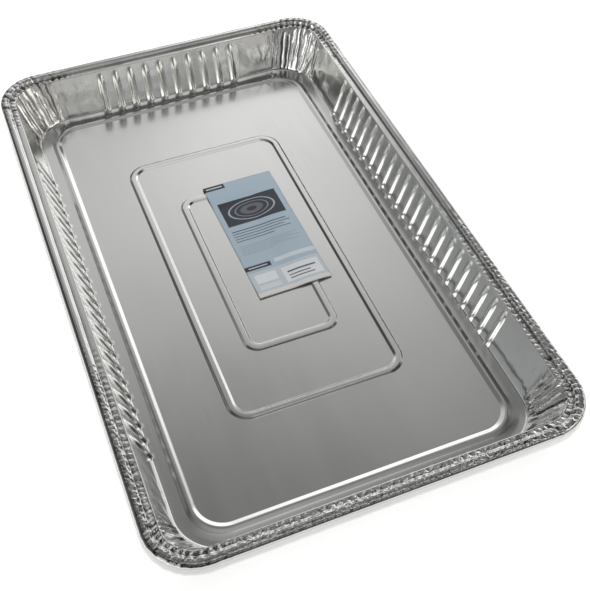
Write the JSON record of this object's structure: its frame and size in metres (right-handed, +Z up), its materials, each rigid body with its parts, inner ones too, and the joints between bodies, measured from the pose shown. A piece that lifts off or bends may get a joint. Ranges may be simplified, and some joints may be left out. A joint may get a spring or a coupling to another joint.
{
  "type": "foil tray",
  "caption": "Shallow rectangular foil tray with rounded corners, ribbed sloping walls, a curled rim and a ridged floor, with a paper label lying inside.",
  "frame": {"origin": "centre of the footprint, on the plane the tray stands on", "axes": "+Z up out of the tray's mouth, +Y along the long side, +X along the short side"},
  "size_m": [0.325, 0.527, 0.042],
  "materials": {
    "foil": "bright rolled foil, finely brushed along its length, crinkled at the rim and corners",
    "label_paper": "satin coated paper in pale blue grey"
  },
  "bodies": {
    "root": {"foil_tray": "foil", "paper_label": "label_paper"}
  },
  "joints": []
}
